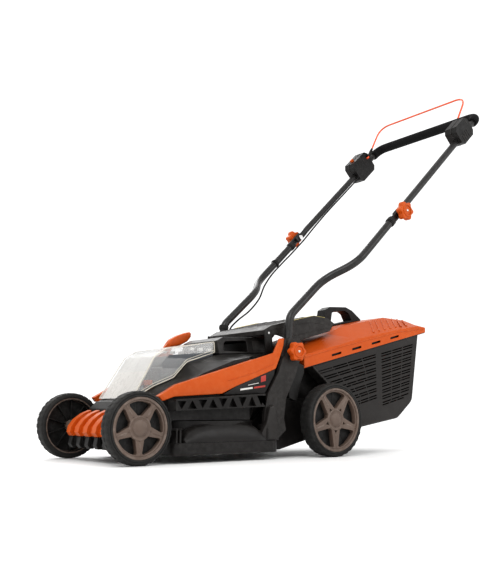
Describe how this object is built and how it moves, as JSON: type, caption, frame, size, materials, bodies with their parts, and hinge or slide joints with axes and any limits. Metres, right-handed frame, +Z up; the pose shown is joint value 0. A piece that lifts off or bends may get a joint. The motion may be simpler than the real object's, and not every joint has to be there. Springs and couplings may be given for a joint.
{
  "type": "cordless rotary lawn mower",
  "caption": "Cordless rotary lawn mower with folding push handle, rear grass catcher, hinged battery cover, turning blade and height adjustment by lever.",
  "frame": {"origin": "centre of the machine's footprint on the ground, at the middle of its bounding box", "axes": "+X runs to the rear, towards the push handle; -X is the direction of travel; +Y is the machine's right side; +Z is up"},
  "size_m": [1.3167, 0.512, 1.143],
  "materials": {
    "orange_plastic": "satin moulded orange plastic",
    "dark_plastic": "fine grained dark plastic",
    "black_plastic": "fine grained black plastic",
    "hub_plastic": "brown grey moulded plastic",
    "tyre": "dull black rubber",
    "clear_cover": "smoky clear plastic",
    "steel": "plain zinc plated steel",
    "black_paint": "black powder coat",
    "foam": "black closed cell foam",
    "orange_wire": "orange coated steel wire",
    "cable_sheath": "black cable sheath",
    "battery_case": "grey plastic case"
  },
  "bodies": {
    "chassis": {"deck_housing": "dark_plastic", "body_shell": "dark_plastic", "side_strip_left": "orange_plastic", "side_strip_right": "orange_plastic", "side_rail_left": "black_plastic", "side_rail_right": "black_plastic", "side_web_left": "black_plastic", "side_web_right": "black_plastic", "front_bumper": "orange_plastic", "front_comb": "black_plastic", "nose": "black_plastic", "nose_keel": "black_plastic", "carry_handle": "black_plastic", "battery_left": "battery_case", "battery_right": "battery_case", "motor": "black_plastic", "lever_quadrant": "orange_plastic", "flap_pin": "steel", "lower_bolt_left": "steel", "lower_bolt_right": "steel", "cable_deck": "cable_sheath", "cable_gland": "black_plastic"},
    "wheel_front_left": {"tyre_front_left": "tyre", "hub_front_left": "hub_plastic"},
    "wheel_front_right": {"tyre_front_right": "tyre", "hub_front_right": "hub_plastic"},
    "wheel_rear_left": {"tyre_rear_left": "tyre", "hub_rear_left": "hub_plastic"},
    "wheel_rear_right": {"tyre_rear_right": "tyre", "hub_rear_right": "hub_plastic"},
    "front_crank": {"front_axle": "steel"},
    "rear_crank": {"rear_axle": "steel"},
    "link": {"link_rod": "steel"},
    "lever": {"height_lever": "orange_plastic"},
    "cutter": {"blade_shaft": "steel", "blade_hub": "black_plastic", "blade": "steel", "blade_bolt": "steel"},
    "lower_handle": {"lower_tube_left": "black_paint", "lower_tube_right": "black_paint", "cable_lower": "cable_sheath"},
    "upper_handle": {"upper_tube": "black_paint", "foam_grip": "foam", "switch_box": "black_plastic", "pivot_box": "black_plastic", "mid_bolt_left": "steel", "mid_bolt_right": "steel", "cable_upper": "cable_sheath"},
    "bail_bar": {"bail": "orange_wire"},
    "button": {"lock_button": "orange_plastic"},
    "cover": {"battery_cover": "clear_cover"},
    "flap": {"rear_flap": "black_plastic"},
    "catcher": {"catcher_basket": "black_plastic", "catcher_lid": "orange_plastic", "catcher_handle": "black_plastic"},
    "key": {"safety_key": "orange_plastic"},
    "lower_knob_l": {"lower_knob_left": "orange_plastic"},
    "lower_knob_r": {"lower_knob_right": "orange_plastic"},
    "mid_knob_l": {"mid_knob_left": "orange_plastic"},
    "mid_knob_r": {"mid_knob_right": "orange_plastic"}
  },
  "joints": [
    {"name": "lever_swing", "type": "hinge", "parent": "chassis", "child": "lever", "pos_m": [-0.3411, 0.1285, 0.268], "axis": [0, -1, 0], "range_deg": [0, 40]},
    {"name": "front_axle_swing", "type": "hinge", "parent": "chassis", "child": "front_crank", "pos_m": [-0.54178, 0, 0.06252], "axis": [0, -1, 0], "range_deg": [0, 56]},
    {"name": "rear_axle_swing", "type": "hinge", "parent": "chassis", "child": "rear_crank", "pos_m": [0.02522, 0, 0.07582], "axis": [0, -1, 0], "range_deg": [0, 56]},
    {"name": "link_swing", "type": "hinge", "parent": "front_crank", "child": "link", "pos_m": [-0.523, 0.152, 0.09784], "axis": [0, -1, 0], "range_deg": [-56, 0]},
    {"name": "front_left_spin", "type": "hinge", "parent": "front_crank", "child": "wheel_front_left", "pos_m": [-0.5771, -0.172, 0.0813], "axis": [0, 1, 0], "continuous": true},
    {"name": "front_right_spin", "type": "hinge", "parent": "front_crank", "child": "wheel_front_right", "pos_m": [-0.5771, 0.172, 0.0813], "axis": [0, 1, 0], "continuous": true},
    {"name": "rear_left_spin", "type": "hinge", "parent": "rear_crank", "child": "wheel_rear_left", "pos_m": [-0.0101, -0.192, 0.0946], "axis": [0, 1, 0], "continuous": true},
    {"name": "rear_right_spin", "type": "hinge", "parent": "rear_crank", "child": "wheel_rear_right", "pos_m": [-0.0101, 0.192, 0.0946], "axis": [0, 1, 0], "continuous": true},
    {"name": "blade_spin", "type": "hinge", "parent": "chassis", "child": "cutter", "pos_m": [-0.3451, 0, 0.0331], "axis": [0, 0, 1], "continuous": true},
    {"name": "lower_handle_fold", "type": "hinge", "parent": "chassis", "child": "lower_handle", "pos_m": [-0.1211, 0, 0.268], "axis": [0, 1, 0], "range_deg": [-80, 0]},
    {"name": "upper_handle_fold", "type": "hinge", "parent": "lower_handle", "child": "upper_handle", "pos_m": [0.2429, 0, 0.683], "axis": [0, -1, 0], "range_deg": [0, 130]},
    {"name": "bail_squeeze", "type": "hinge", "parent": "upper_handle", "child": "bail_bar", "pos_m": [0.5554, 0, 1.0145], "axis": [0, 1, 0], "range_deg": [0, 18], "stiffness_Nm_per_rad": 0.6, "springref_deg": -11.46},
    {"name": "lock_button_press", "type": "slide", "parent": "upper_handle", "child": "button", "axis": [0.694, 0, -0.72], "range_m": [0, 0.004], "stiffness_N_per_m": 200, "springref_m": -0.001},
    {"name": "battery_cover_open", "type": "hinge", "parent": "chassis", "child": "cover", "pos_m": [-0.2993, 0, 0.2925], "axis": [0, 1, 0], "range_deg": [0, 70]},
    {"name": "rear_flap_lift", "type": "hinge", "parent": "chassis", "child": "flap", "pos_m": [-0.1721, 0, 0.317], "axis": [0, -1, 0], "range_deg": [0, 60], "stiffness_Nm_per_rad": 0.15, "springref_deg": -28.65},
    {"name": "catcher_pull", "type": "slide", "parent": "chassis", "child": "catcher", "axis": [1, 0, 0], "range_m": [0, 0.3]},
    {"name": "key_pull", "type": "slide", "parent": "chassis", "child": "key", "axis": [0, 0, 1], "range_m": [0, 0.012]},
    {"name": "lower_knob_left_turn", "type": "hinge", "parent": "chassis", "child": "lower_knob_l", "pos_m": [-0.1211, -0.182, 0.268], "axis": [0, 1, 0], "continuous": true},
    {"name": "lower_knob_right_turn", "type": "hinge", "parent": "chassis", "child": "lower_knob_r", "pos_m": [-0.1211, 0.182, 0.268], "axis": [0, 1, 0], "continuous": true},
    {"name": "mid_knob_left_turn", "type": "hinge", "parent": "upper_handle", "child": "mid_knob_l", "pos_m": [0.2429, -0.241, 0.683], "axis": [0, 1, 0], "continuous": true},
    {"name": "mid_knob_right_turn", "type": "hinge", "parent": "upper_handle", "child": "mid_knob_r", "pos_m": [0.2429, 0.241, 0.683], "axis": [0, 1, 0], "continuous": true}
  ],
  "couplings": [
    {"joint": "front_axle_swing", "follows": "lever_swing", "ratio": 1.4},
    {"joint": "rear_axle_swing", "follows": "lever_swing", "ratio": 1.4},
    {"joint": "link_swing", "follows": "lever_swing", "ratio": -1.4}
  ]
}
